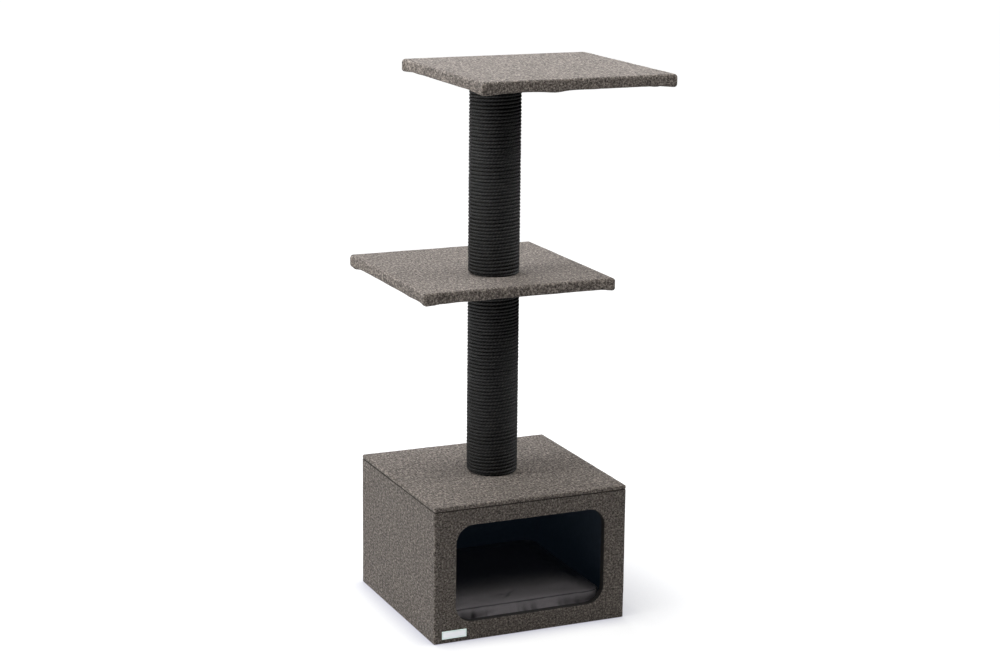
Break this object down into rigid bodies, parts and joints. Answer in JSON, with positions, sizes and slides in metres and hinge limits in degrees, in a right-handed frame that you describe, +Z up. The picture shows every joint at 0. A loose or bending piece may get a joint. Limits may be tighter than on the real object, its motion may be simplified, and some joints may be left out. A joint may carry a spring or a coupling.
{
  "type": "cat tree",
  "caption": "Free-standing cat tree: felt-covered box house with a rounded doorway and a loose cushion, rope-wound scratching posts and square felt platforms set off-centre above it.",
  "frame": {"origin": "centre of the house's underside, on the floor and on the axis of the posts", "axes": "+Z up along the posts, -Y out of the house's doorway, +X to the right of someone facing the doorway"},
  "size_m": [0.4295, 0.425, 0.9574],
  "materials": {
    "felt": "matte",
    "board": "matte",
    "plug": "matte",
    "tube": "matte",
    "rope": "matte",
    "liner": "matte",
    "steel": "satin",
    "cushion": "matte",
    "filling": "matte",
    "label": "satin"
  },
  "bodies": {
    "stand": {"floor_board": "board", "left_wall": "board", "right_wall": "board", "front_wall": "board", "back_wall": "board", "roof_board": "board", "side_felt": "felt", "roof_felt": "felt", "woven_label": "label", "floor_screw_left_front": "steel", "floor_screw_left_back": "steel", "floor_screw_right_front": "steel", "floor_screw_right_back": "steel", "roof_screw_left_front": "steel", "roof_screw_left_back": "steel", "roof_screw_right_front": "steel", "roof_screw_right_back": "steel", "left_front_screw_low": "steel", "left_front_screw_high": "steel", "left_back_screw_low": "steel", "left_back_screw_high": "steel", "right_front_screw_low": "steel", "right_front_screw_high": "steel", "right_back_screw_low": "steel", "right_back_screw_high": "steel", "lower_tube": "tube", "lower_rope": "rope", "lower_top_plug": "plug", "lower_top_insert": "steel", "lower_bottom_plug": "plug", "lower_bottom_insert": "steel", "upper_tube": "tube", "upper_rope": "rope", "upper_top_plug": "plug", "upper_top_insert": "steel", "upper_bottom_plug": "plug", "upper_bottom_insert": "steel", "house_washer": "steel", "house_bolt": "steel", "joining_stud": "steel", "top_stud": "steel"},
    "middle_platform": {"middle_board": "board", "middle_felt": "felt", "middle_liner": "liner"},
    "top_platform": {"top_board": "board", "top_felt": "felt", "top_liner": "liner", "top_tee_nut": "steel"},
    "cushion": {"cushion_cover": "cushion", "cushion_pad": "filling"}
  },
  "joints": [
    {"name": "middle_platform_swivel", "type": "hinge", "parent": "stand", "child": "middle_platform", "pos_m": [0, 0, 0.5904], "axis": [0, 0, 1], "continuous": true},
    {"name": "top_platform_swivel", "type": "hinge", "parent": "stand", "child": "top_platform", "pos_m": [0, 0, 0.9476], "axis": [0, 0, 1], "continuous": true},
    {"name": "cushion_lift", "type": "slide", "parent": "stand", "child": "cushion", "axis": [0, 0, 1], "range_m": [0, 0.16]}
  ]
}
